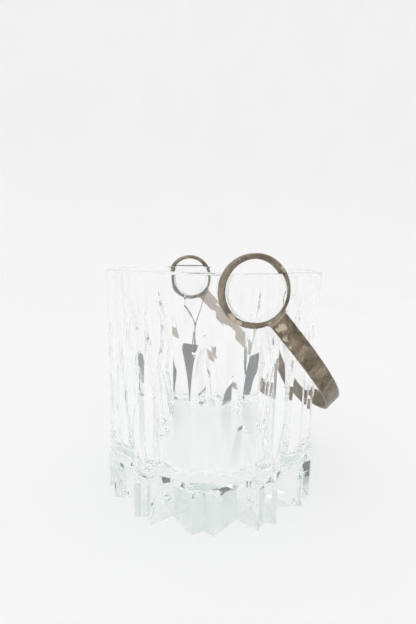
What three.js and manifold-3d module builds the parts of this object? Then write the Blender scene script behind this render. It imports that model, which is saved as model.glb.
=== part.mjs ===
// Ice bucket of cut crystal with a swing handle of plated metal.
//
// Frame: millimetres, +Z up, the bucket stands on Z = 0 and its axis is the Z axis.
// The two lugs lie on the Y axis, and the handle rests on the +X side of the bucket.
import * as THREE from "three";
import { mergeVertices } from "three/addons/utils/BufferGeometryUtils.js";
import Module from "manifold-3d";

// ---- Driving dimensions, millimetres and degrees ----

const RIM_RADIUS = 65;
const BUCKET_HEIGHT = 131;
const WALL_RADIUS = 64.2;
const RIM_FLARE_HEIGHT = 5;
const RIM_THICKNESS = 4.2;
const RIM_BEVEL = 1.2;
const FLOOR_HEIGHT = 12;
const FLOOR_RADIUS = 58.2;
const FLOOR_CURVE_WIDTH = 32;
const FLOOR_CURVE_RISE = 24;
const WALL_SIDES = 96;

const FOOT_HEIGHT = 21.3;
const FOOT_BLOCKS = 12;
const FOOT_POINT_RADIUS = 65.3;
const FOOT_NOTCH_RADIUS = 61.4;
const FOOT_VALLEY_RADIUS = 54;
const FOOT_POINT_HALF_ANGLE = 5;
const FOOT_WIDE_HALF_ANGLE = 18;
const FOOT_TURN = -18.6;

const CUT_PERIOD = 60;
const CUT_START = 6;
const CUT_OFFSETS = [0, 9.8, 20.3, 35.6, 47.1];
const CUT_HEIGHTS = [112.5, 98.5, 113.5, 103, 82.5];
const CUT_HALF_WIDTHS = [9.4, 4.6, 9.4, 7.4, 5.6];
const CUT_FOOT_Z = 24;
const CUT_DEPTH = 2.8;
const LOW_CUT_HEIGHT = 58;
const LOW_CUT_OFFSET = 17;
const LOW_CUT_HALF_WIDTH = 9.5;

const LUG_RADIUS = 13.7;
const LUG_CENTRE_DROP = 8;
const LUG_FACE_Y = 74;
const LUG_ROOT_Y = 61.5;
const LUG_SIDES = 48;

const RING_OUTER_RADIUS = 17;
const RING_INNER_RADIUS = 14.35;
const RING_WIDTH = 4.6;
const RING_CENTRE_Y = 68.8;
const RING_CHAMFER = 0.5;
const RING_SIDES = 64;

const ARCH_LENGTH = 103;
const ARCH_HALF_SPAN = 68.8;
const ARCH_SHOULDER = 3.35;
const ARCH_CROWN = 2.16;
const ARCH_STEPS = 72;
const STRAP_WIDTH = 9.9;
const STRAP_THICKNESS = 2;
const HANDLE_DROP = 48;

const TOUCH_GAP = 0.3;
const SEAM_REACH = 1.6;
const SEAM_THICKNESS = 0.7;

const STRING_DIAMETER = 0.8;
const STRING_SIDES = 8;
const STRING_Y = 65.8;
const STRING_LOOP_STEPS = 64;
const STRING_TAIL_STEPS = 28;
const KNOT_PLACE = [3.6, STRING_Y, 83.7];
const KNOT_RADIUS = 1.3;

const TAG_WIDTH = 33;
const TAG_HEIGHT = 55;
const TAG_THICKNESS = 0.6;
const TAG_CORNER = 2.5;
const TAG_TILT = 10;
const TAG_Y = 66.4;
const TAG_HOLE_RADIUS = 1.6;
const TAG_HOLE_FROM_LEFT = 12.9;
const TAG_HOLE_FROM_TOP = 7.1;
const TAG_HOLE_PLACE = [3, TAG_Y, 59.3];

// The string's middle line, points of [x, z] in the plane STRING_Y: out of the knot, up to the lug's
// left side, over the lug's flat top, and down its right side to the knot.
const STRING_LOOP = [
  [3, 85.2],
  [0.2, 92],
  [-3.6, 101],
  [-8.2, 110],
  [-12.3, 115.4],
  [-14.3, 120.8],
  [-14.2, 125.6],
  [-12.7, 129.9],
  [-10.6, 131.7],
  [-6, 131.8],
  [0, 131.8],
  [6, 131.8],
  [10.6, 131.7],
  [12.7, 129.9],
  [14.2, 125.6],
  [14.3, 120.8],
  [13.3, 116.4],
  [11.6, 109.5],
  [9.2, 101],
  [6.4, 92],
  [4.2, 85.2],
];

// The tail's middle line, points of [x, y, z]: down from the knot, through the tag's hole, and back up.
const STRING_TAIL = [
  [3.2, 65.25, 82.2],
  [3.1, 65, 76],
  [3, 64.8, 69],
  [3, 64.8, 62.6],
  [3, 65.25, 60.9],
  [3, 66.4, 60.2],
  [3, 67.55, 60.9],
  [3, 68, 62.6],
  [3.1, 67.9, 69],
  [3.4, 67.1, 76],
  [3.7, 66.35, 82.2],
];

const LUG_Z = BUCKET_HEIGHT - LUG_CENTRE_DROP;
const rad = THREE.MathUtils.degToRad;

const wasm = await Module();
wasm.setup();

// ---- Materials ----

const glass = new THREE.MeshStandardMaterial({ color: 0xdfe8e4, roughness: 0.03, metalness: 0 });
const agedSilver = new THREE.MeshStandardMaterial({ color: 0x8a7d68, roughness: 0.38, metalness: 1 });
const brazing = new THREE.MeshStandardMaterial({ color: 0x9c8f77, roughness: 0.5, metalness: 1 });
const darkCard = new THREE.MeshStandardMaterial({ color: 0x4a4c52, roughness: 0.8, metalness: 0 });
const darkCotton = new THREE.MeshStandardMaterial({ color: 0x3f4147, roughness: 0.9, metalness: 0 });

// ---- Solid helpers ----

// A closed three.js geometry becomes a solid whose vertices are shared.
function toSolid(geometry) {
  const bare = geometry.index ? geometry.toNonIndexed() : geometry.clone();
  bare.deleteAttribute("normal");
  bare.deleteAttribute("uv");
  const merged = mergeVertices(bare, 1e-4);
  return new wasm.Manifold(
    new wasm.Mesh({
      numProp: 3,
      vertProperties: new Float32Array(merged.attributes.position.array),
      triVerts: new Uint32Array(merged.index.array),
    }),
  );
}

function toGeometry(solid) {
  const mesh = solid.getMesh();
  const geometry = new THREE.BufferGeometry();
  geometry.setAttribute("position", new THREE.BufferAttribute(mesh.vertProperties, mesh.numProp));
  geometry.setIndex(new THREE.BufferAttribute(mesh.triVerts, 1));
  geometry.computeVertexNormals();
  return geometry;
}

function part(name, geometry, material) {
  const mesh = new THREE.Mesh(geometry, material);
  mesh.name = name;
  return mesh;
}

// A profile of [radius, height] points turned about Z.
function turned(profile, sides) {
  const points = profile.map(([radius, height]) => new THREE.Vector2(radius, height));
  return new THREE.LatheGeometry(points, sides).rotateX(Math.PI / 2);
}

// Radius and azimuth, from -Y towards +X, as a plan point.
function polar(radius, azimuth) {
  return new THREE.Vector2(radius * Math.sin(rad(azimuth)), -radius * Math.cos(rad(azimuth)));
}

// A quarter of an ellipse as profile points, both ends included.
function arcPoints(centreR, centreZ, width, rise, fromAngle, toAngle, steps) {
  const points = [];
  for (let i = 0; i <= steps; i += 1) {
    const angle = rad(fromAngle + ((toAngle - fromAngle) * i) / steps);
    points.push([centreR + width * Math.cos(angle), centreZ + rise * Math.sin(angle)]);
  }
  return points;
}

// ---- Glass bucket ----

function bowlSolid() {
  const rimInner = RIM_RADIUS - RIM_THICKNESS;
  const rimTurn = BUCKET_HEIGHT - RIM_BEVEL;
  const flatRadius = FLOOR_RADIUS - FLOOR_CURVE_WIDTH;
  const wallFoot = FLOOR_HEIGHT + FLOOR_CURVE_RISE;
  const outside = [
    [0, FOOT_HEIGHT - 1],
    [WALL_RADIUS, FOOT_HEIGHT - 1],
    [WALL_RADIUS, BUCKET_HEIGHT - RIM_FLARE_HEIGHT - RIM_BEVEL],
    ...arcPoints(RIM_RADIUS - RIM_BEVEL, rimTurn, RIM_BEVEL, RIM_BEVEL, 0, 90, 4),
  ];
  const inside = [
    ...arcPoints(rimInner + RIM_BEVEL, rimTurn, RIM_BEVEL, RIM_BEVEL, 90, 180, 4),
    ...arcPoints(flatRadius, wallFoot, FLOOR_CURVE_WIDTH, FLOOR_CURVE_RISE, 0, -90, 10),
    [0, FLOOR_HEIGHT],
  ];
  return toSolid(turned([...outside, ...inside], WALL_SIDES));
}

// The star-shaped foot: wide and narrow blocks by turns, with a shallow notch in each face and a deep
// valley between them.
function footSolid() {
  const outline = [];
  const pitch = 360 / FOOT_BLOCKS;
  for (let i = 0; i < FOOT_BLOCKS; i += 1) {
    const centre = FOOT_TURN + i * pitch;
    const half = i % 2 === 0 ? FOOT_WIDE_HALF_ANGLE : pitch - FOOT_WIDE_HALF_ANGLE;
    outline.push(polar(FOOT_POINT_RADIUS, centre - FOOT_POINT_HALF_ANGLE));
    outline.push(polar(FOOT_NOTCH_RADIUS, centre));
    outline.push(polar(FOOT_POINT_RADIUS, centre + FOOT_POINT_HALF_ANGLE));
    outline.push(polar(FOOT_VALLEY_RADIUS, centre + half));
  }
  const shape = new THREE.Shape(outline);
  return toSolid(new THREE.ExtrudeGeometry(shape, { depth: FOOT_HEIGHT, bevelEnabled: false }));
}

// One cut in the wall: a ridge-shaped prism whose edge comes out of the wall at the cut's pointed top.
function cutSolid(azimuth, tipZ, halfWidth) {
  const length = tipZ - CUT_FOOT_Z;
  const lean = Math.atan2(CUT_DEPTH, length);
  const shape = new THREE.Shape([
    new THREE.Vector2(0, 0),
    new THREE.Vector2(halfWidth, -CUT_DEPTH),
    new THREE.Vector2(halfWidth, -4 * CUT_DEPTH),
    new THREE.Vector2(-halfWidth, -4 * CUT_DEPTH),
    new THREE.Vector2(-halfWidth, -CUT_DEPTH),
  ]);
  const prism = new THREE.ExtrudeGeometry(shape, { depth: length * 1.1, bevelEnabled: false });
  prism.rotateX(lean);
  prism.translate(0, CUT_DEPTH - WALL_RADIUS, CUT_FOOT_Z);
  prism.rotateZ(rad(azimuth));
  return toSolid(prism);
}

// One lug: a round horizontal stub cut flat, flush with the rim.
function lugSolid(side) {
  const stub = new THREE.CylinderGeometry(LUG_RADIUS, LUG_RADIUS, LUG_FACE_Y - LUG_ROOT_Y, LUG_SIDES);
  stub.translate(0, (side * (LUG_FACE_Y + LUG_ROOT_Y)) / 2, LUG_Z);
  const above = new THREE.BoxGeometry(4 * LUG_RADIUS, 4 * LUG_FACE_Y, 2 * LUG_RADIUS);
  above.translate(0, 0, BUCKET_HEIGHT + LUG_RADIUS);
  return toSolid(stub).subtract(toSolid(above));
}

function glassBucket() {
  let solid = bowlSolid();
  for (let turn = 0; turn < 360; turn += CUT_PERIOD) {
    CUT_OFFSETS.forEach((offset, kind) => {
      const cut = cutSolid(CUT_START + turn + offset, CUT_HEIGHTS[kind], CUT_HALF_WIDTHS[kind]);
      solid = solid.subtract(cut);
    });
  }
  for (let turn = 0; turn < 360; turn += CUT_PERIOD) {
    for (const side of [-1, 1]) {
      const azimuth = FOOT_TURN + turn + side * LOW_CUT_OFFSET;
      solid = solid.subtract(cutSolid(azimuth, LOW_CUT_HEIGHT, LOW_CUT_HALF_WIDTH));
    }
  }
  solid = solid.add(footSolid()).add(lugSolid(-1)).add(lugSolid(1));
  return part("glass_bucket", toGeometry(solid), glass);
}

// ---- Handle, modelled flat along +X from the hinge line and then tipped to its rest ----

// A point of the strap's middle line: x away from the hinge line, y along it.
function archPoint(t, side) {
  const x = ARCH_LENGTH * Math.sin(t) ** (2 / ARCH_SHOULDER);
  const y = side * ARCH_HALF_SPAN * Math.cos(t) ** (2 / ARCH_CROWN);
  return new THREE.Vector2(x, y);
}

// The strap's outline in plan: its middle line moved out and in by half the thickness.
function strapShape(thickness) {
  const half = [];
  for (let i = 0; i <= ARCH_STEPS / 2; i += 1) {
    half.push(archPoint((i / (ARCH_STEPS / 2)) * (Math.PI / 2), -1));
  }
  const mirrored = half.slice(0, -1).reverse().map((p) => new THREE.Vector2(p.x, -p.y));
  const line = [...half, ...mirrored];
  const side = (sign) =>
    line.map((point, index) => {
      const before = line[Math.max(index - 1, 0)];
      const after = line[Math.min(index + 1, line.length - 1)];
      const normal = new THREE.Vector2(after.y - before.y, before.x - after.x).normalize();
      return point.clone().addScaledVector(normal, (sign * thickness) / 2);
    });
  return new THREE.Shape([...side(1), ...side(-1).reverse()]);
}

function strapSolid(width, thickness) {
  const options = { depth: width, bevelEnabled: false };
  const strap = new THREE.ExtrudeGeometry(strapShape(thickness), options);
  return toSolid(strap.translate(0, 0, -width / 2));
}

// A cylinder about the hinge line, as long as the handle is wide.
function hingeCylinder(radius) {
  return toSolid(new THREE.CylinderGeometry(radius, radius, 4 * RING_CENTRE_Y, RING_SIDES));
}

// The strap's ends are hollowed to fit round the rings.
function handleStrap() {
  const strap = strapSolid(STRAP_WIDTH, STRAP_THICKNESS);
  const solid = strap.subtract(hingeCylinder(RING_OUTER_RADIUS + TOUCH_GAP));
  return part("handle_strap", toGeometry(solid), agedSilver);
}

// The braze metal: a bead round the strap's end, against the ring.
function brazedSeam(name, side) {
  const room = 2 * TOUCH_GAP;
  const bead = 2 * SEAM_THICKNESS;
  const outer = strapSolid(STRAP_WIDTH + room + bead, STRAP_THICKNESS + room + bead);
  const inner = strapSolid(STRAP_WIDTH + room, STRAP_THICKNESS + room);
  const half = new THREE.BoxGeometry(4 * ARCH_LENGTH, 2 * RING_CENTRE_Y, 4 * STRAP_WIDTH);
  half.translate(0, side * RING_CENTRE_Y, 0);
  const solid = outer
    .subtract(inner)
    .intersect(toSolid(half))
    .intersect(hingeCylinder(RING_OUTER_RADIUS + TOUCH_GAP + SEAM_REACH))
    .subtract(hingeCylinder(RING_OUTER_RADIUS + TOUCH_GAP));
  return part(name, toGeometry(solid), brazing);
}

function lugRing(name, side) {
  const half = RING_WIDTH / 2;
  const ring = turned(
    [
      [RING_INNER_RADIUS + RING_CHAMFER, -half],
      [RING_OUTER_RADIUS - RING_CHAMFER, -half],
      [RING_OUTER_RADIUS, RING_CHAMFER - half],
      [RING_OUTER_RADIUS, half - RING_CHAMFER],
      [RING_OUTER_RADIUS - RING_CHAMFER, half],
      [RING_INNER_RADIUS + RING_CHAMFER, half],
      [RING_INNER_RADIUS, half - RING_CHAMFER],
      [RING_INNER_RADIUS, RING_CHAMFER - half],
      [RING_INNER_RADIUS + RING_CHAMFER, -half],
    ],
    RING_SIDES,
  );
  ring.rotateX(Math.PI / 2);
  ring.translate(0, side * RING_CENTRE_Y, 0);
  return part(name, ring, agedSilver);
}

// ---- Swing tag on its string, at the rear lug ----

function cordTube(name, points, steps) {
  const path = new THREE.CatmullRomCurve3(points.map((p) => new THREE.Vector3(...p)));
  const section = new THREE.Shape();
  for (let i = 0; i < STRING_SIDES; i += 1) {
    const angle = (2 * Math.PI * i) / STRING_SIDES;
    const x = (STRING_DIAMETER / 2) * Math.cos(angle);
    const y = (STRING_DIAMETER / 2) * Math.sin(angle);
    if (i === 0) section.moveTo(x, y);
    else section.lineTo(x, y);
  }
  section.closePath();
  const options = { steps, extrudePath: path, bevelEnabled: false };
  return part(name, new THREE.ExtrudeGeometry(section, options), darkCotton);
}

function tagKnot() {
  const knot = part("tag_knot", new THREE.SphereGeometry(KNOT_RADIUS, 16, 10), darkCotton);
  knot.position.set(...KNOT_PLACE);
  return knot;
}

// The card is drawn about its hole, and hangs with its right side low.
function hangTag() {
  const left = -TAG_HOLE_FROM_LEFT;
  const right = TAG_WIDTH - TAG_HOLE_FROM_LEFT;
  const top = TAG_HOLE_FROM_TOP;
  const bottom = TAG_HOLE_FROM_TOP - TAG_HEIGHT;
  const card = new THREE.Shape();
  card.moveTo(left + TAG_CORNER, bottom);
  card.lineTo(right - TAG_CORNER, bottom);
  card.absarc(right - TAG_CORNER, bottom + TAG_CORNER, TAG_CORNER, -Math.PI / 2, 0);
  card.absarc(right - TAG_CORNER, top - TAG_CORNER, TAG_CORNER, 0, Math.PI / 2);
  card.absarc(left + TAG_CORNER, top - TAG_CORNER, TAG_CORNER, Math.PI / 2, Math.PI);
  card.absarc(left + TAG_CORNER, bottom + TAG_CORNER, TAG_CORNER, Math.PI, 1.5 * Math.PI);
  card.holes.push(new THREE.Path().absarc(0, 0, TAG_HOLE_RADIUS, 0, 2 * Math.PI));
  const options = { depth: TAG_THICKNESS, bevelEnabled: false, curveSegments: 8 };
  const tag = new THREE.ExtrudeGeometry(card, options);
  tag.translate(0, 0, -TAG_THICKNESS / 2);
  const mesh = part("hang_tag", tag.rotateX(Math.PI / 2), darkCard);
  mesh.position.set(...TAG_HOLE_PLACE);
  mesh.rotation.y = rad(TAG_TILT);
  return mesh;
}

// ---- The whole bucket ----

const handle = new THREE.Group();
handle.position.set(0, 0, LUG_Z);
handle.rotation.y = rad(HANDLE_DROP);
handle.add(handleStrap());
for (const [place, side] of [["front", -1], ["rear", 1]]) {
  handle.add(lugRing(`ring_${place}`, side));
  handle.add(brazedSeam(`brazed_seam_${place}`, side));
}

const swingTag = new THREE.Group();
const loopPoints = STRING_LOOP.map(([x, z]) => [x, STRING_Y, z]);
swingTag.add(cordTube("tag_string_loop", loopPoints, STRING_LOOP_STEPS));
swingTag.add(cordTube("tag_string_tail", STRING_TAIL, STRING_TAIL_STEPS));
swingTag.add(tagKnot());
swingTag.add(hangTag());

const iceBucket = new THREE.Group();
iceBucket.add(glassBucket(), handle, swingTag);

export default iceBucket;
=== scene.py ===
"""Looks of the cut-glass ice bucket: fine glass, aged metal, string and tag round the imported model.

Lengths are in millimetres and angles in degrees, and every mesh is scaled to metres where it is made.
+Z is up, the bucket's axis is Z, the lugs lie on Y, and the handle rests on the +X side.
"""

import math

import bmesh
import bpy
import numpy as np
from mathutils import Matrix, Vector, noise as blender_noise


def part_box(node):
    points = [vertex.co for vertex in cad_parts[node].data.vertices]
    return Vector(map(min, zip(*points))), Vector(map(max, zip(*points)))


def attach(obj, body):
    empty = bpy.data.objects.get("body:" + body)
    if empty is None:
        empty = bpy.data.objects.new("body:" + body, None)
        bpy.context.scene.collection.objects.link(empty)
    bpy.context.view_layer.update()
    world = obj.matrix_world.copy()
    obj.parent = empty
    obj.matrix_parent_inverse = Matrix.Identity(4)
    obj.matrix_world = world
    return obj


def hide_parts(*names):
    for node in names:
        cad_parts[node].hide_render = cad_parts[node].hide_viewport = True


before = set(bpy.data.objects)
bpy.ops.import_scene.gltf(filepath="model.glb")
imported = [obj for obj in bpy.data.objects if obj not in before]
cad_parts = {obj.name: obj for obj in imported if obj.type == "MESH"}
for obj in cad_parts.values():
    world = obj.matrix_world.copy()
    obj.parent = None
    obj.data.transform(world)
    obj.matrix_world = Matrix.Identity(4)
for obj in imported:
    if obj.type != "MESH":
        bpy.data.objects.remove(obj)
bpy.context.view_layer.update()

MM = 0.001

# ---- Driving dimensions, the same as the CAD model's ----

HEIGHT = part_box("glass_bucket")[1].z / MM
LUG_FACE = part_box("glass_bucket")[1].y / MM
RIM_RADIUS = 65.0
WALL_RADIUS = 64.2
FLARE_BELOW_RIM = 26.0
RIM_THICKNESS = 4.2
RIM_ROUND = 1.5

# The bowl's own bottom. The foot's prism reaches higher inside it, so the floor that shows is the
# prism's flat top, 1 mm above FOOT_HEIGHT.
FLOOR_HEIGHT = 12.0
FLOOR_RADIUS = 58.2
FLOOR_CURVE_WIDTH = 32.0
FLOOR_CURVE_RISE = 24.0

# The dull part of the inside, out to just short of the foot's valleys.
WORN_RADIUS = 53.5

FOOT_HEIGHT = 21.3
FOOT_PITCH = 30.0
POINT_RADIUS = 65.3
NOTCH_RADIUS = 61.4
VALLEY_RADIUS = 54.0
POINT_HALF_ANGLE = 5.0
WIDE_HALF_ANGLE = 18.0
FOOT_TURN = -18.6

CORE_RADIUS = 51.0
CORE_FOOT = 4.0
LEDGE_ROUND = 4.2

CUT_PERIOD = 60.0
CUT_START = 6.0
CUT_OFFSETS = (0.0, 9.8, 20.3, 35.6, 47.1)
CUT_TIPS = (112.5, 98.5, 113.5, 103.0, 82.5)
CUT_HALF_ANGLES = (8.7, 4.4, 8.7, 6.6, 4.6)
CUT_POINTEDNESS = (0.9, 0.8, 0.9, 0.57, 0.8)
CUT_MEET = 62.0
CUT_FOOT = 24.0
CUT_SLOPE = math.tan(math.radians(30))
CUT_DEEPEST = 3.5
LOW_CUT_TIP = 58.0
LOW_CUT_OFFSET = 17.0
LOW_CUT_SLOPE = 0.36
LOW_CUT_WIDEST = 15.0
LOW_CUT_SHOULDER = 26.0

LUG_RADIUS = 13.7
LUG_DROP = 8.0
LUG_ROOT = 61.5
LUG_Z = HEIGHT - LUG_DROP

RING_OUTER = 17.0
RING_INNER = 14.35
RING_WIDTH = 4.6
RING_Y = 68.8

ARCH_LENGTH = 103.0
ARCH_HALF_SPAN = 68.8
ARCH_SHOULDER = 3.35
ARCH_CROWN = 2.16
STRAP_WIDTH = 9.9
STRAP_THICKNESS = 2.0
HANDLE_DROP = 48.0
TOUCH_GAP = 0.3

STRING_DIAMETER = 0.8
STRING_Y = 65.8
KNOT_PLACE = (3.6, STRING_Y, 83.7)

# The string's middle line: [x, z] in the plane STRING_Y, out of the knot, over the lug and back.
STRING_LOOP = [
    (3, 85.2),
    (0.2, 92),
    (-3.6, 101),
    (-8.2, 110),
    (-12.3, 115.4),
    (-14.3, 120.8),
    (-14.2, 125.6),
    (-12.7, 129.9),
    (-10.6, 131.7),
    (-6, 131.8),
    (0, 131.8),
    (6, 131.8),
    (10.6, 131.7),
    (12.7, 129.9),
    (14.2, 125.6),
    (14.3, 120.8),
    (13.3, 116.4),
    (11.6, 109.5),
    (9.2, 101),
    (6.4, 92),
    (4.2, 85.2),
]

# Its tail, [x, y, z]: down from the knot, through the tag's hole, and back up.
STRING_TAIL = [
    (3.2, 65.25, 82.2),
    (3.1, 65, 76),
    (3, 64.8, 69),
    (3, 64.8, 62.6),
    (3, 65.25, 60.9),
    (3, 66.4, 60.2),
    (3, 67.55, 60.9),
    (3, 68, 62.6),
    (3.1, 67.9, 69),
    (3.4, 67.1, 76),
    (3.7, 66.35, 82.2),
]

TAG_WIDTH = 33.0
TAG_HEIGHT = 55.0
TAG_THICKNESS = 0.6
TAG_CORNER = 2.5
TAG_TILT = 10.0
TAG_HOLE_RADIUS = 1.6
TAG_HOLE_FROM_LEFT = 12.9
TAG_HOLE_FROM_TOP = 7.1
TAG_HOLE_PLACE = (3.0, 66.4, 59.3)
TAG_BOW_CENTRE = 8.0


# ---- Mesh helpers ----

def new_object(name, verts, faces, material, sharp=30):
    """A smooth-shaded mesh object from points in millimetres, creased where faces turn by sharp degrees."""
    mesh = bpy.data.meshes.new(name)
    mesh.from_pydata([tuple(v) for v in np.asarray(verts, float) * MM], [], faces)
    mesh.validate()
    obj = bpy.data.objects.new(name, mesh)
    bpy.context.scene.collection.objects.link(obj)
    mesh.materials.append(material)
    finish_mesh(mesh, sharp)
    return obj


def finish_mesh(mesh, sharp):
    """Turns the faces outwards and shades them smooth, creased where they turn by sharp degrees."""
    bm = bmesh.new()
    bm.from_mesh(mesh)
    bmesh.ops.recalc_face_normals(bm, faces=bm.faces)
    bm.to_mesh(mesh)
    bm.free()
    mesh.shade_smooth()
    mesh.set_sharp_from_angle(angle=math.radians(sharp))


def grid_faces(rows, columns, wrap_rows=False, wrap_columns=True):
    """Quads of a grid of points stored row by row."""
    faces = []
    for r in range(rows if wrap_rows else rows - 1):
        for c in range(columns if wrap_columns else columns - 1):
            r2 = (r + 1) % rows
            c2 = (c + 1) % columns
            faces.append((r * columns + c, r * columns + c2, r2 * columns + c2, r2 * columns + c))
    return faces


def capped(faces, rows, columns):
    """The grid's faces with its first and last rows closed."""
    first = tuple(reversed(range(columns)))
    last = tuple(range((rows - 1) * columns, rows * columns))
    return faces + [first, last]


def boolean(obj, other, operation):
    """Joins other to obj or cuts it from obj, and removes other."""
    modifier = obj.modifiers.new(operation.lower(), "BOOLEAN")
    modifier.operation = operation
    modifier.solver = "MANIFOLD"
    modifier.object = other
    depsgraph = bpy.context.evaluated_depsgraph_get()
    baked = bpy.data.meshes.new_from_object(obj.evaluated_get(depsgraph))
    obj.modifiers.clear()
    obj.data = baked
    bpy.data.objects.remove(other)


def smooth_path(points, per_span):
    """A Catmull-Rom curve through the points."""
    p = np.asarray(points, float)
    p = np.vstack([2 * p[0] - p[1], p, 2 * p[-1] - p[-2]])
    path = []
    for a, b, c, d in zip(p, p[1:], p[2:], p[3:]):
        for t in np.arange(per_span) / per_span:
            path.append(0.5 * (2 * b + (c - a) * t + (2 * a - 5 * b + 4 * c - d) * t * t
                               + (3 * b - a - 3 * c + d) * t ** 3))
    path.append(p[-2])
    return np.array(path)


def carried_frames(path, closed=False):
    """Tangent, normal and binormal along a path, turned as little as possible from step to step."""
    if closed:
        tangents = np.roll(path, -1, axis=0) - np.roll(path, 1, axis=0)
    else:
        tangents = np.gradient(path, axis=0)
    tangents /= np.linalg.norm(tangents, axis=1)[:, None]
    start = np.cross(tangents[0], (0.3, 0.9, 0.2))
    normal = start / np.linalg.norm(start)
    frames = []
    for tangent in tangents:
        normal = normal - tangent * normal.dot(tangent)
        normal = normal / np.linalg.norm(normal)
        frames.append((tangent, normal, np.cross(tangent, normal)))
    return frames


def unevenness(point, size, amount):
    """A smooth random offset of at most about amount, with bumps about size across."""
    return amount * blender_noise.noise(Vector(point) / size)


# ---- Material helpers ----

def new_material(name):
    material = bpy.data.materials.new(name)
    material.use_nodes = True
    nodes = material.node_tree.nodes
    nodes.clear()
    out = nodes.new("ShaderNodeOutputMaterial")
    shader = nodes.new("ShaderNodeBsdfPrincipled")
    material.node_tree.links.new(shader.outputs["BSDF"], out.inputs["Surface"])
    return material, material.node_tree, shader, out


def place(tree):
    """Object coordinates, in metres."""
    return tree.nodes.new("ShaderNodeTexCoord").outputs["Object"]


def noise(tree, scale, detail=4.0, roughness=0.55, distortion=0.0, at=None):
    node = tree.nodes.new("ShaderNodeTexNoise")
    node.inputs["Scale"].default_value = scale
    node.inputs["Detail"].default_value = detail
    node.inputs["Roughness"].default_value = roughness
    node.inputs["Distortion"].default_value = distortion
    tree.links.new(at if at is not None else place(tree), node.inputs["Vector"])
    return node.outputs["Fac"]


def ramp(tree, value, stops):
    """A colour ramp of (position, colour) stops."""
    node = tree.nodes.new("ShaderNodeValToRGB")
    elements = node.color_ramp.elements
    for element, (position, colour) in zip(elements, stops[:2]):
        element.position = position
        element.color = (*colour, 1)
    for position, colour in stops[2:]:
        elements.new(position).color = (*colour, 1)
    tree.links.new(value, node.inputs["Fac"])
    return node.outputs["Color"]


def grey(value):
    return (value, value, value)


def feed(tree, socket, value):
    """Sets a socket to a number or colour, or links it to another socket."""
    if isinstance(value, (int, float)):
        socket.default_value = value
    elif isinstance(value, tuple):
        socket.default_value = (*value, 1)
    else:
        tree.links.new(value, socket)


def mix(tree, factor, low, high, blend="MIX"):
    node = tree.nodes.new("ShaderNodeMix")
    node.data_type = "RGBA"
    node.blend_type = blend
    feed(tree, node.inputs["Factor"], factor)
    feed(tree, node.inputs[6], low)
    feed(tree, node.inputs[7], high)
    return node.outputs[2]


def math_node(tree, operation, first, second=0.0):
    node = tree.nodes.new("ShaderNodeMath")
    node.operation = operation
    feed(tree, node.inputs[0], first)
    feed(tree, node.inputs[1], second)
    return node.outputs["Value"]


def bump(tree, shader, height, strength, distance):
    node = tree.nodes.new("ShaderNodeBump")
    node.inputs["Strength"].default_value = strength
    node.inputs["Distance"].default_value = distance
    tree.links.new(height, node.inputs["Height"])
    tree.links.new(node.outputs["Normal"], shader.inputs["Normal"])


def patches(tree, spots):
    """1 near each (point in millimetres, radius) spot, fading to 0, with ragged edges."""
    ragged = noise(tree, 260, detail=6, roughness=0.7)
    total = 0.0
    for point, radius in spots:
        distance = tree.nodes.new("ShaderNodeVectorMath")
        distance.operation = "DISTANCE"
        tree.links.new(place(tree), distance.inputs[0])
        distance.inputs[1].default_value = tuple(c * MM for c in point)
        far = math_node(tree, "DIVIDE", distance.outputs["Value"], 1.3 * radius * MM)
        near = math_node(tree, "MULTIPLY", math_node(tree, "SUBTRACT", 1.0, far), 0.42)
        total = math_node(tree, "MAXIMUM", near, total)
    return ramp(tree, math_node(tree, "ADD", ragged, total), [(0.69, grey(0)), (0.78, grey(0.9))])


# ---- Materials ----

def worn_floor(tree):
    """1 on the inside floor and most of its curved corner, and 0 on the rest of the glass."""
    apart = tree.nodes.new("ShaderNodeSeparateXYZ")
    tree.links.new(place(tree), apart.inputs["Vector"])
    plan = tree.nodes.new("ShaderNodeCombineXYZ")
    tree.links.new(apart.outputs["X"], plan.inputs["X"])
    tree.links.new(apart.outputs["Y"], plan.inputs["Y"])
    radius = tree.nodes.new("ShaderNodeVectorMath")
    radius.operation = "LENGTH"
    tree.links.new(plan.outputs["Vector"], radius.inputs[0])
    inner = math_node(tree, "LESS_THAN", radius.outputs["Value"], WORN_RADIUS * MM)
    above = math_node(tree, "GREATER_THAN", apart.outputs["Z"], (FLOOR_HEIGHT - 1) * MM)
    return math_node(tree, "MULTIPLY", inner, above)


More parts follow.
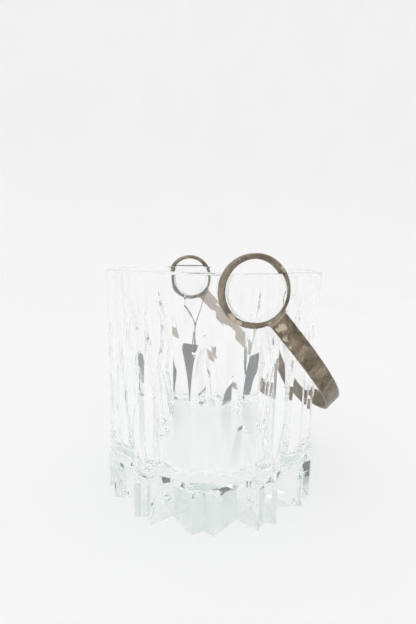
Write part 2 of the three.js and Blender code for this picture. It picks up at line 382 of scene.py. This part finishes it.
def crystal_glass():
    """Clear glass with a faint green in its depth and a floor worn dull by ice.

    Light for the floor and metal goes straight through it.
    """
    material, tree, shader, out = new_material("crystal_glass")
    shader.inputs["Base Color"].default_value = (1, 1, 1, 1)
    shader.inputs["IOR"].default_value = 1.53
    rough = ramp(tree, noise(tree, 60, detail=3), [(0.5, grey(0.0)), (0.85, grey(0.03))])
    worn = worn_floor(tree)
    rough = math_node(tree, "MAXIMUM", rough, math_node(tree, "MULTIPLY", worn, 0.16))
    tree.links.new(rough, shader.inputs["Roughness"])
    clearness = math_node(tree, "SUBTRACT", 1.0, math_node(tree, "MULTIPLY", worn, 0.6))
    tree.links.new(clearness, shader.inputs["Transmission Weight"])
    bump(tree, shader, noise(tree, 70, detail=1), 0.06, 0.0005)
    path = tree.nodes.new("ShaderNodeLightPath")
    either = math_node(tree, "MAXIMUM", path.outputs["Is Shadow Ray"], path.outputs["Is Diffuse Ray"])
    clear = tree.nodes.new("ShaderNodeBsdfTransparent")
    clear.inputs["Color"].default_value = (0.972, 0.98, 0.977, 1)
    choice = tree.nodes.new("ShaderNodeMixShader")
    tree.links.new(either, choice.inputs["Fac"])
    tree.links.new(shader.outputs["BSDF"], choice.inputs[1])
    tree.links.new(clear.outputs["BSDF"], choice.inputs[2])
    tree.links.new(choice.outputs["Shader"], out.inputs["Surface"])
    volume = tree.nodes.new("ShaderNodeVolumeAbsorption")
    volume.inputs["Color"].default_value = (0.82, 0.905, 0.875, 1)
    volume.inputs["Density"].default_value = 4.5
    tree.links.new(volume.outputs["Volume"], out.inputs["Volume"])
    return material


def aged_silver(name, lift, spots, rear=0.0):
    """Worn plate: brown tarnish, paler on its edges where the plate is worn and as a painted highlight,
    paler towards +Y by rear as painted light on the far side, and pitted.
    """
    material, tree, shader, _ = new_material(name)
    shader.inputs["Metallic"].default_value = 1.0
    tarnish = noise(tree, 120, detail=6, roughness=0.62, distortion=0.5)
    tone = ramp(
        tree,
        tarnish,
        [
            (0.34, (0.10 + lift, 0.078 + lift, 0.054 + lift)),
            (0.50, (0.20 + lift, 0.162 + lift, 0.118 + lift)),
            (0.68, (0.35 + lift, 0.295 + lift, 0.225 + lift)),
        ],
    )
    # Paler on sharp edges: partly plate worn through, partly a painted highlight along the edges.
    edges = tree.nodes.new("ShaderNodeNewGeometry").outputs["Pointiness"]
    worn_and_highlit_edges = ramp(tree, edges, [(0.515, grey(0)), (0.58, grey(0.85))])
    tone = mix(tree, worn_and_highlit_edges, tone, (0.52, 0.45, 0.355))
    flecks = ramp(tree, noise(tree, 420, detail=7, roughness=0.75), [(0.57, grey(0)), (0.64, grey(0.85))])
    tone = mix(tree, flecks, tone, (0.46, 0.40, 0.31))
    bare = patches(tree, spots)
    tone = mix(tree, bare, tone, (0.60, 0.52, 0.41))
    # Paler towards +Y by rear: painted light on the far side of the strap.
    apart = tree.nodes.new("ShaderNodeSeparateXYZ")
    tree.links.new(place(tree), apart.inputs["Vector"])
    behind = math_node(tree, "MULTIPLY", apart.outputs["Y"], 1 / (RING_Y * MM))
    tone = mix(tree, ramp(tree, behind, [(0.0, grey(0)), (0.6, grey(rear))]), tone, (0.74, 0.68, 0.60))
    tree.links.new(tone, shader.inputs["Base Color"])
    rough = ramp(tree, tarnish, [(0.35, grey(0.30)), (0.7, grey(0.46))])
    tree.links.new(rough, shader.inputs["Roughness"])
    pits = ramp(tree, noise(tree, 900, detail=5, roughness=0.7), [(0.35, grey(0)), (0.6, grey(1))])
    dents = noise(tree, 180, detail=4, roughness=0.6)
    bump(tree, shader, mix(tree, 0.4, pits, dents), 0.5, 0.00018)
    return material


def dark_card():
    material, tree, shader, _ = new_material("dark_card")
    fibres = noise(tree, 900, detail=6, roughness=0.7)
    tone = ramp(tree, fibres, [(0.3, (0.20, 0.205, 0.23)), (0.7, (0.26, 0.265, 0.285))])
    tree.links.new(tone, shader.inputs["Base Color"])
    shader.inputs["Roughness"].default_value = 0.75
    bump(tree, shader, fibres, 0.25, 0.00008)
    return material


def dark_cotton():
    material, tree, shader, _ = new_material("dark_cotton_string")
    fibres = noise(tree, 2500, detail=4)
    tone = ramp(tree, fibres, [(0.3, (0.10, 0.105, 0.12)), (0.7, (0.20, 0.205, 0.225))])
    tree.links.new(tone, shader.inputs["Base Color"])
    shader.inputs["Roughness"].default_value = 0.85
    bump(tree, shader, fibres, 0.5, 0.0001)
    return material


def on_handle(x, y, z):
    """A point of the handle, drawn flat along +X from the hinge line, at its rest."""
    turn = math.radians(HANDLE_DROP)
    return (x * math.cos(turn) + z * math.sin(turn), y, LUG_Z - x * math.sin(turn) + z * math.cos(turn))


STRAP_SPOTS = [
    (on_handle(22, -70, -1.5), 3.2),
    (on_handle(27, -70, -3.5), 2.4),
    (on_handle(33, -70, -4.2), 2.2),
    (on_handle(64, -66, -2.5), 1.8),
    (on_handle(72, -63, 1.0), 1.6),
    (on_handle(68, -65, -3.8), 1.6),
    (on_handle(40, 69, 2.0), 2.6),
    (on_handle(98, 20, 3.0), 2.4),
]
RING_SPOTS = [
    ((-11.0, -71.0, 112.0), 3.2),
    ((-8.0, -71.0, 109.5), 2.2),
    ((7.0, -71.0, 108.5), 2.0),
    ((12.0, -71.0, 134.0), 1.6),
    ((-14.0, 71.0, 130.0), 2.4),
    ((5.0, 71.0, 108.0), 2.2),
]

GLASS = crystal_glass()
# rear=0.6 paints light onto the strap's far half, towards +Y.
STRAP_METAL = aged_silver("aged_silver_strap", 0.0, STRAP_SPOTS, rear=0.6)
RING_METAL = aged_silver("aged_silver_ring", 0.02, RING_SPOTS)
BRAZE = aged_silver("braze_metal", 0.10, STRAP_SPOTS[:1])
CARD = dark_card()
STRING = dark_cotton()


# ---- Camera ----

CAMERA_AT = Vector((-64.15, -226.46, 136.95)) * MM
CAMERA_HEADING = 15.09
CAMERA_PITCH = -7.98
CAMERA_ROLL = 0.80
CAMERA_LENS = 21.72


def camera():
    data = bpy.data.cameras.new("camera")
    data.lens = CAMERA_LENS
    data.sensor_width = 36
    data.clip_start = 0.01
    obj = bpy.data.objects.new("camera", data)
    bpy.context.scene.collection.objects.link(obj)
    heading = Matrix.Rotation(math.radians(-CAMERA_HEADING), 4, "Z")
    pitch = Matrix.Rotation(math.radians(90 + CAMERA_PITCH), 4, "X")
    roll = Matrix.Rotation(math.radians(CAMERA_ROLL), 4, "Z")
    obj.matrix_world = Matrix.Translation(CAMERA_AT) @ heading @ pitch @ roll
    bpy.context.scene.camera = obj


camera()


# ---- String, knot and tag ----

def twisted_tube(name, path, radius, twist_length, material, closed=False):
    """Two strands twisted together along a path: each ring is the outline of two touching circles."""
    around = 14
    frames = carried_frames(path, closed)
    travelled = np.concatenate([[0], np.cumsum(np.linalg.norm(np.diff(path, axis=0), axis=1))])
    verts = []
    for point, (_, normal, binormal), along in zip(path, frames, travelled):
        turn = 2 * math.pi * along / twist_length
        for i in range(around):
            angle = 2 * math.pi * i / around
            reach = radius * (0.72 + 0.28 * abs(math.cos(angle)) ** 0.8)
            offset = math.cos(angle + turn) * normal + math.sin(angle + turn) * binormal
            verts.append(point + reach * offset)
    faces = grid_faces(len(path), around, wrap_rows=closed)
    if not closed:
        faces = capped(faces, len(path), around)
    return new_object(name, verts, faces, material, 60)


def tag_string(knot, tag):
    """The string in one length: out of the knot, over the lug, back, through the tag and back again."""
    loop = [(x, STRING_Y, z) for x, z in STRING_LOOP]
    path = smooth_path([KNOT_PLACE, *loop, *STRING_TAIL, KNOT_PLACE], 14)
    string = twisted_tube("tag_string", path, STRING_DIAMETER / 2, 2.2, STRING)
    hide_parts("tag_string_loop", "tag_string_tail")
    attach(string, "bucket")
    return string


def overhand_knot():
    """A tightened overhand knot: a trefoil of string."""
    path = []
    for t in np.linspace(0, 2 * math.pi, 90, endpoint=False):
        x = math.sin(t) + 2 * math.sin(2 * t)
        z = math.cos(t) - 2 * math.cos(2 * t)
        y = -math.sin(3 * t)
        path.append((KNOT_PLACE[0] + 0.29 * x, KNOT_PLACE[1] + 0.36 * y, KNOT_PLACE[2] + 0.33 * z))
    knot = twisted_tube("string_knot", np.array(path), STRING_DIAMETER / 2, 2.2, STRING, closed=True)
    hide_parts("tag_knot")
    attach(knot, "bucket")
    return knot


def tag_outline(count):
    """Points round the card's edge, seen from its hole, with round corners."""
    left, right = -TAG_HOLE_FROM_LEFT, TAG_WIDTH - TAG_HOLE_FROM_LEFT
    top, bottom = TAG_HOLE_FROM_TOP, TAG_HOLE_FROM_TOP - TAG_HEIGHT
    corners = [(right, top, 0), (left, top, 90), (left, bottom, 180), (right, bottom, 270)]
    edge = []
    for x, z, start in corners:
        cx = x - math.copysign(TAG_CORNER, x)
        cz = z - math.copysign(TAG_CORNER, z)
        for a in np.radians(np.linspace(start, start + 90, 9)):
            edge.append((cx + TAG_CORNER * math.cos(a), cz + TAG_CORNER * math.sin(a)))
    edge = np.array(edge + edge[:1])
    steps = np.concatenate([[0], np.cumsum(np.linalg.norm(np.diff(edge, axis=0), axis=1))])
    at = np.linspace(0, steps[-1], count, endpoint=False)
    return np.stack([np.interp(at, steps, edge[:, 0]), np.interp(at, steps, edge[:, 1])], axis=1)


def hang_tag():
    """A blank card with a punched hole, bowed a little and soft at its edges."""
    count, rings = 144, 18
    outline = tag_outline(count)
    angles = np.arctan2(outline[:, 1], outline[:, 0])
    hole = TAG_HOLE_RADIUS * np.stack([np.cos(angles), np.sin(angles)], axis=1)
    half, soft = TAG_THICKNESS / 2, 0.12
    inset = outline * (1 - soft / np.linalg.norm(outline, axis=1)[:, None])
    face = [hole + (inset - hole) * b for b in np.linspace(0, 1, rings)]
    rows = [(ring, half) for ring in face]
    rows += [(outline, half - soft), (outline, soft - half)]
    rows += [(ring, -half) for ring in reversed(face)]
    tilt = math.radians(TAG_TILT)
    verts = []
    for ring, depth in rows:
        for x, z in ring:
            bow = 0.5 * ((x - TAG_BOW_CENTRE) / 21) ** 2 + 0.35 * (z / 48) ** 2 - 0.07
            verts.append((
                TAG_HOLE_PLACE[0] + x * math.cos(tilt) + z * math.sin(tilt),
                TAG_HOLE_PLACE[1] + depth + bow,
                TAG_HOLE_PLACE[2] - x * math.sin(tilt) + z * math.cos(tilt),
            ))
    tag = new_object("blank_swing_tag", verts, grid_faces(len(rows), count, wrap_rows=True), CARD, 50)
    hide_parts("hang_tag")
    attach(tag, "bucket")
    return tag


tag_string(overhand_knot(), hang_tag())


# ---- Glass bucket ----

SIDE_COLUMNS = 6
LAND_COLUMNS = 8
CUTS = [
    (CUT_START + turn * CUT_PERIOD + offset, kind)
    for turn in range(6)
    for kind, offset in enumerate(CUT_OFFSETS)
]


def polar(radius, azimuth, z):
    """A point from its radius and its azimuth, in degrees from -Y towards +X."""
    a = math.radians(azimuth)
    return (radius * math.sin(a), -radius * math.cos(a), z)


def wall_radius(z):
    """Outside radius of the uncut wall: straight, and opening a little towards the rim."""
    t = max(0.0, 1 - (HEIGHT - z) / FLARE_BELOW_RIM)
    return WALL_RADIUS + (RIM_RADIUS - WALL_RADIUS) * t * t


def cut_half_angle(kind, z):
    """Half the angle that a wall cut spans: nothing at its tip, and full where the cuts meet."""
    tip = CUT_TIPS[kind]
    if z >= tip or z < CUT_FOOT:
        return 0.0
    rise = min(1.0, (tip - z) / (tip - CUT_MEET))
    arch = math.sin(math.pi / 2 * rise ** CUT_POINTEDNESS[kind])
    foot = min(1.0, (z - CUT_FOOT) / 4.0)
    return CUT_HALF_ANGLES[kind] * arch * math.sqrt(foot * (2 - foot))


def cut_depth(angle, radius):
    """Depth of a cut at its middle: steep while it is narrow, and never through the wall."""
    steep = radius * math.radians(angle) * CUT_SLOPE
    return CUT_DEEPEST * math.tanh(steep / CUT_DEEPEST)


def wall_row(z):
    """One ring of the wall's outside: its azimuths and radii, with a column on each cut's edges."""
    radius = wall_radius(z)
    azimuths, radii = [], []
    for (azimuth, kind), (after, next_kind) in zip(CUTS, CUTS[1:] + CUTS[:1]):
        gap = (after - azimuth) % 360
        near, far = cut_half_angle(kind, z), cut_half_angle(next_kind, z)
        crowd = min(1.0, (gap - 0.25) / max(near + far, 1e-6))
        near_edge, far_edge = max(near * crowd, 0.12), max(far * crowd, 0.12)
        near_depth, far_depth = cut_depth(near, radius), cut_depth(far, radius)
        for u in np.arange(SIDE_COLUMNS) / SIDE_COLUMNS:
            azimuths.append(azimuth + near_edge * u)
            radii.append(radius - near_depth * (1 - u))
        for u in np.arange(LAND_COLUMNS) / LAND_COLUMNS:
            azimuths.append(azimuth + near_edge + (gap - near_edge - far_edge) * u)
            radii.append(radius)
        for u in np.arange(SIDE_COLUMNS) / SIDE_COLUMNS:
            azimuths.append(azimuth + gap - far_edge + far_edge * u)
            radii.append(radius - far_depth * u)
    return azimuths, radii


def star_corners():
    """Radius and azimuth of the star foot's corners: notched blocks, wide and narrow by turns."""
    corners = []
    for index, block in enumerate(np.arange(FOOT_TURN, FOOT_TURN + 360, FOOT_PITCH)):
        half = WIDE_HALF_ANGLE if index % 2 == 0 else FOOT_PITCH - WIDE_HALF_ANGLE
        corners.append((POINT_RADIUS, block - POINT_HALF_ANGLE))
        corners.append((NOTCH_RADIUS, block))
        corners.append((POINT_RADIUS, block + POINT_HALF_ANGLE))
        corners.append((VALLEY_RADIUS, block + half))
    return corners


def foot_object():
    """The star foot: a prism softened at its lower edge, whose flat top is the bucket's inside floor."""
    levels = [(0.0, 0.35), (0.12, 0.1), (0.4, 0.0), (FOOT_HEIGHT + 1.0, 0.0)]
    corners = star_corners()
    verts = []
    for z, inset in levels:
        verts += [polar(radius - inset, azimuth, z) for radius, azimuth in corners]
    faces = capped(grid_faces(len(levels), len(corners)), len(levels), len(corners))
    return new_object("star_foot", verts, faces, GLASS)


def bowl_object():
    """The wall with its tall cuts, the rim and the inside, on a plain core that the foot hides."""
    levels = [
        *(FOOT_HEIGHT + LEDGE_ROUND * np.linspace(0, 1, 7) ** 1.6),
        *np.arange(26, 30, 0.5),
        *np.arange(30, 58, 1.5),
        *np.arange(58, 114.25, 0.75),
        *np.linspace(115, HEIGHT - RIM_ROUND, 8),
    ]
    foot_azimuths = wall_row(FOOT_HEIGHT)[0]
    rows = [[polar(CORE_RADIUS, a, z) for a in foot_azimuths] for z in (CORE_FOOT, FOOT_HEIGHT)]
    for z in levels:
        under = max(0.0, 1 - (z - FOOT_HEIGHT) / LEDGE_ROUND)
        inset = LEDGE_ROUND * (1 - math.sqrt(1 - under * under))
        rows.append([polar(r - inset, a, z) for a, r in zip(*wall_row(z))])
    azimuths = wall_row(HEIGHT)[0]

    def ring(radius, z):
        rows.append([polar(radius, a, z) for a in azimuths])

    inside = RIM_RADIUS - RIM_THICKNESS
    for angle in np.radians(np.linspace(7.5, 90, 12)):
        ring(RIM_RADIUS - RIM_ROUND * (1 - math.cos(angle)), HEIGHT - RIM_ROUND * (1 - math.sin(angle)))
    for angle in np.radians(np.linspace(0, 90, 13)):
        ring(inside + RIM_ROUND * (1 - math.sin(angle)), HEIGHT - RIM_ROUND * (1 - math.cos(angle)))
    low = FLOOR_HEIGHT + FLOOR_CURVE_RISE
    for z in np.linspace(HEIGHT - 6, low + 1, 16):
        ring(inside + (FLOOR_RADIUS - inside) * (HEIGHT - z) / (HEIGHT - low), z)
    for angle in np.radians(np.linspace(0, 90, 31)):
        ring(
            FLOOR_RADIUS - FLOOR_CURVE_WIDTH * (1 - math.cos(angle)),
            FLOOR_HEIGHT + FLOOR_CURVE_RISE * (1 - math.sin(angle)),
        )
    for radius in (18, 12, 6):
        ring(radius, FLOOR_HEIGHT)
    verts = [point for row in rows for point in row]
    faces = capped(grid_faces(len(rows), len(azimuths)), len(rows), len(azimuths))
    return new_object("cut_glass_bucket", verts, faces, GLASS, 8)


def low_cutters():
    """A ridge over each foot valley, as one mesh: it cuts a low pointed arch into the wall.

    Each level is a triangle with its apex towards the axis, and it is clear of the wall above the tip.
    """
    outside = 3.0
    levels = [LOW_CUT_TIP + 0.6, *np.arange(LOW_CUT_TIP, FOOT_HEIGHT - 2, -1.0)]
    valleys = [
        FOOT_TURN + turn * CUT_PERIOD + side * LOW_CUT_OFFSET
        for turn in range(6)
        for side in (-1, 1)
    ]
    verts, faces = [], []
    for valley in valleys:
        turn = math.radians(valley)
        first = len(verts)
        for z in levels:
            down = max(LOW_CUT_TIP - z, 0.0) / LOW_CUT_SHOULDER
            width = LOW_CUT_WIDEST * min(1.0, math.sqrt(down))
            apex = -LOW_CUT_SLOPE * width if width > 0 else 0.3
            reach = width + outside / LOW_CUT_SLOPE
            for across, out in ((0, apex), (reach, outside), (-reach, outside)):
                radius = WALL_RADIUS + out
                x = radius * math.sin(turn) + across * math.cos(turn)
                y = -radius * math.cos(turn) + across * math.sin(turn)
                verts.append((x, y, z))
        for face in capped(grid_faces(len(levels), 3), len(levels), 3):
            faces.append(tuple(first + i for i in face))
    return new_object("low_cutters", verts, faces, GLASS)


def lug_object(side):
    """A round horizontal stub with a softened face, cut flat just below the rim's top."""
    corner = math.asin((LUG_DROP - 0.05) / LUG_RADIUS)
    outline = [(LUG_RADIUS * math.cos(a), LUG_RADIUS * math.sin(a))
               for a in np.linspace(corner, -math.pi - corner, 97)]
    rings = [(LUG_ROOT, 0.0)]
    for angle in np.radians(np.linspace(0, 90, 7)):
        rings.append((LUG_FACE - 0.9 * (1 - math.sin(angle)), 0.9 * (1 - math.cos(angle))))
    verts = []
    for y, inset in rings:
        scale = 1 - inset / LUG_RADIUS
        verts += [(x * scale, side * y, LUG_Z + z * scale) for x, z in outline]
    faces = capped(grid_faces(len(rings), len(outline)), len(rings), len(outline))
    return new_object(f"lug_{side}", verts, faces, GLASS)


def glass_bucket():
    bucket = bowl_object()
    boolean(bucket, low_cutters(), "DIFFERENCE")
    boolean(bucket, foot_object(), "UNION")
    for side in (-1, 1):
        boolean(bucket, lug_object(side), "UNION")
    finish_mesh(bucket.data, 8)
    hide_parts("glass_bucket")
    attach(bucket, "bucket")
    return bucket


glass_bucket()


# ---- Handle ----

def rounded_section(width, thickness, corner, per_corner=6, per_side=8):
    """Points round a rectangle with round corners, (along the width, along the thickness)."""
    points = []
    half_w, half_t = width / 2 - corner, thickness / 2 - corner
    centres = [(half_w, half_t), (-half_w, half_t), (-half_w, -half_t), (half_w, -half_t)]
    for index, (cx, cy) in enumerate(centres):
        for a in np.radians(np.linspace(90 * index, 90 * index + 90, per_corner)):
            points.append((cx + corner * math.cos(a), cy + corner * math.sin(a)))
        nx, ny = centres[(index + 1) % 4]
        if index % 2 == 0:
            end = points[-1]
            for u in np.arange(1, per_side) / per_side:
                points.append((end[0] + (nx - cx) * u, end[1] + (ny - cy) * u))
    return points


def arch_line():
    """The strap's middle line in its own flat plane, evenly stepped, with its outward normals."""
    line = []
    for t in np.linspace(0, math.pi / 2, 400):
        x = ARCH_LENGTH * math.sin(t) ** (2 / ARCH_SHOULDER)
        line.append((x, -ARCH_HALF_SPAN * math.cos(t) ** (2 / ARCH_CROWN)))
    line = np.array(line + [(x, -y) for x, y in reversed(line[:-1])])
    steps = np.concatenate([[0], np.cumsum(np.linalg.norm(np.diff(line, axis=0), axis=1))])
    reach = RING_OUTER + TOUCH_GAP
    start = np.interp(reach, line[:200, 0], steps[:200])
    at = np.linspace(start, steps[-1] - start, 221)
    even = np.stack([np.interp(at, steps, line[:, 0]), np.interp(at, steps, line[:, 1])], axis=1)
    tangents = np.gradient(even, axis=0)
    tangents /= np.linalg.norm(tangents, axis=1)[:, None]
    normals = np.stack([tangents[:, 1], -tangents[:, 0]], axis=1)
    return even, normals


def handle_strap():
    """A flat strap with soft, slightly uneven edges, hollowed at its ends to fit round the rings."""
    line, normals = arch_line()
    section = rounded_section(STRAP_WIDTH - 0.1, STRAP_THICKNESS - 0.1, 0.55)
    reach = RING_OUTER + TOUCH_GAP
    fade = 12
    wide, fine = (5.0, 0.10), (1.7, 0.045)
    verts = []
    for row, ((x, y), (nx, ny)) in enumerate(zip(line, normals)):
        end = min(row, len(line) - 1 - row)
        for across, through in section:
            px, py = x + nx * through, y + ny * through
            if end < fade:
                px += (math.sqrt(reach ** 2 - across ** 2) - reach) * (1 - end / fade)
            wobble = unevenness((px, py, across), *wide) + unevenness((py, across, px), *fine)
            swell = through * wobble / (STRAP_THICKNESS / 2)
            edge = across + 0.9 * wobble * (1 if across > 0 else -1)
            verts.append(on_handle(px + nx * swell, py + ny * swell, edge))
    faces = capped(grid_faces(len(line), len(section)), len(line), len(section))
    strap = new_object("swing_handle_strap", verts, faces, STRAP_METAL, 40)
    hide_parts("handle_strap")
    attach(strap, "handle")


def lug_ring(place_name, side):
    """A round-edged band, a little uneven all round."""
    section = rounded_section(RING_WIDTH - 0.1, RING_OUTER - RING_INNER - 0.1, 0.8, 6, 4)
    middle = (RING_OUTER + RING_INNER) / 2
    around = 160
    verts = []
    for i in range(around):
        a = 2 * math.pi * i / around
        for across, out in section:
            at = (middle * math.cos(a), side * 40, middle * math.sin(a) + across)
            wobble = unevenness(at, 6.0, 0.12) + unevenness(at, 2.0, 0.05)
            radius = middle + out + wobble * (0.4 if out > 0 else -0.4)
            verts.append((
                radius * math.cos(a),
                side * RING_Y + across * (1 + 0.02 * wobble),
                LUG_Z + radius * math.sin(a),
            ))
    faces = grid_faces(around, len(section), wrap_rows=True)
    ring = new_object(f"lug_ring_{place_name}", verts, faces, RING_METAL, 50)
    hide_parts(f"ring_{place_name}")
    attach(ring, "handle")


def brazed_seam(place_name, side):
    """A lumpy bead of braze round the strap's end, hollow against the ring."""
    loop = rounded_section(STRAP_WIDTH + 0.5, STRAP_THICKNESS + 0.5, 0.7, 8, 10)
    around = 10
    verts = []
    for across, out in loop:
        lump = 0.75 + unevenness((across * 3, out * 5, side * 9), 2.2, 0.22)
        length = math.hypot(across, out * 4)
        aside = (across / length, out * 4 / length)
        for k in range(around):
            angle = 2 * math.pi * k / around
            swell = lump * 0.5 * (1 + math.cos(angle))
            climb = lump * (0.65 + 0.65 * math.sin(angle))
            w = across + aside[0] * swell * 0.45
            reach = math.sqrt((RING_OUTER + 0.12) ** 2 - min(abs(w), STRAP_WIDTH) ** 2)
            verts.append(on_handle(reach + climb, side * (RING_Y + out + aside[1] * swell * 0.45), w))
    faces = grid_faces(len(loop), around, wrap_rows=True)
    seam = new_object(f"braze_bead_{place_name}", verts, faces, BRAZE, 60)
    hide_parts(f"brazed_seam_{place_name}")
    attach(seam, "handle")


handle_strap()
for place_name, side in (("front", -1), ("rear", 1)):
    lug_ring(place_name, side)
    brazed_seam(place_name, side)


# ---- Floor, backdrop and light ----

FLOOR_Z = -0.2


def pale_sweep():
    """A pale floor that turns up into a backdrop far behind the bucket."""
    material, tree, shader, _ = new_material("pale_paper")
    shader.inputs["Roughness"].default_value = 0.9
    shader.inputs["Specular IOR Level"].default_value = 0.1
    tone = ramp(tree, noise(tree, 4, detail=3), [(0.3, grey(0.925)), (0.7, grey(0.94))])
    tree.links.new(tone, shader.inputs["Base Color"])
    profile = [(-3000, FLOOR_Z), (-1500, FLOOR_Z), (0, FLOOR_Z), (900, FLOOR_Z)]
    for a in np.linspace(0.1, math.pi / 2, 16):
        profile.append((900 + 700 * math.sin(a), FLOOR_Z + 700 * (1 - math.cos(a))))
    profile.append((1600, 3000))
    verts = [(x, y, z) for y, z in profile for x in (-3500, 3500)]
    faces = [(2 * i, 2 * i + 1, 2 * i + 3, 2 * i + 2) for i in range(len(profile) - 1)]
    sweep = new_object("pale_sweep", verts, faces, material, 60)


def soft_world():
    """A bright soft room, a little darker towards the side that the front lug faces."""
    world = bpy.data.worlds.new("soft_room")
    bpy.context.scene.world = world
    world.use_nodes = True
    tree = world.node_tree
    background = tree.nodes["Background"]
    at = tree.nodes.new("ShaderNodeTexCoord").outputs["Generated"]
    apart = tree.nodes.new("ShaderNodeSeparateXYZ")
    tree.links.new(at, apart.inputs["Vector"])
    back = math_node(tree, "ADD", math_node(tree, "MULTIPLY", apart.outputs["Y"], 0.5), 0.5)
    high = math_node(tree, "MULTIPLY", math_node(tree, "MAXIMUM", apart.outputs["Z"], 0.0), 0.6)
    tone = ramp(tree, math_node(tree, "ADD", back, high), [(0.1, grey(0.86)), (0.75, grey(1.08))])
    tree.links.new(tone, background.inputs["Color"])
    background.inputs["Strength"].default_value = 1.0


pale_sweep()
soft_world()

scene = bpy.context.scene
scene.view_settings.view_transform = "Standard"
scene.cycles.max_bounces = 32
scene.cycles.glossy_bounces = 32
scene.cycles.transmission_bounces = 32
scene.cycles.transparent_max_bounces = 32
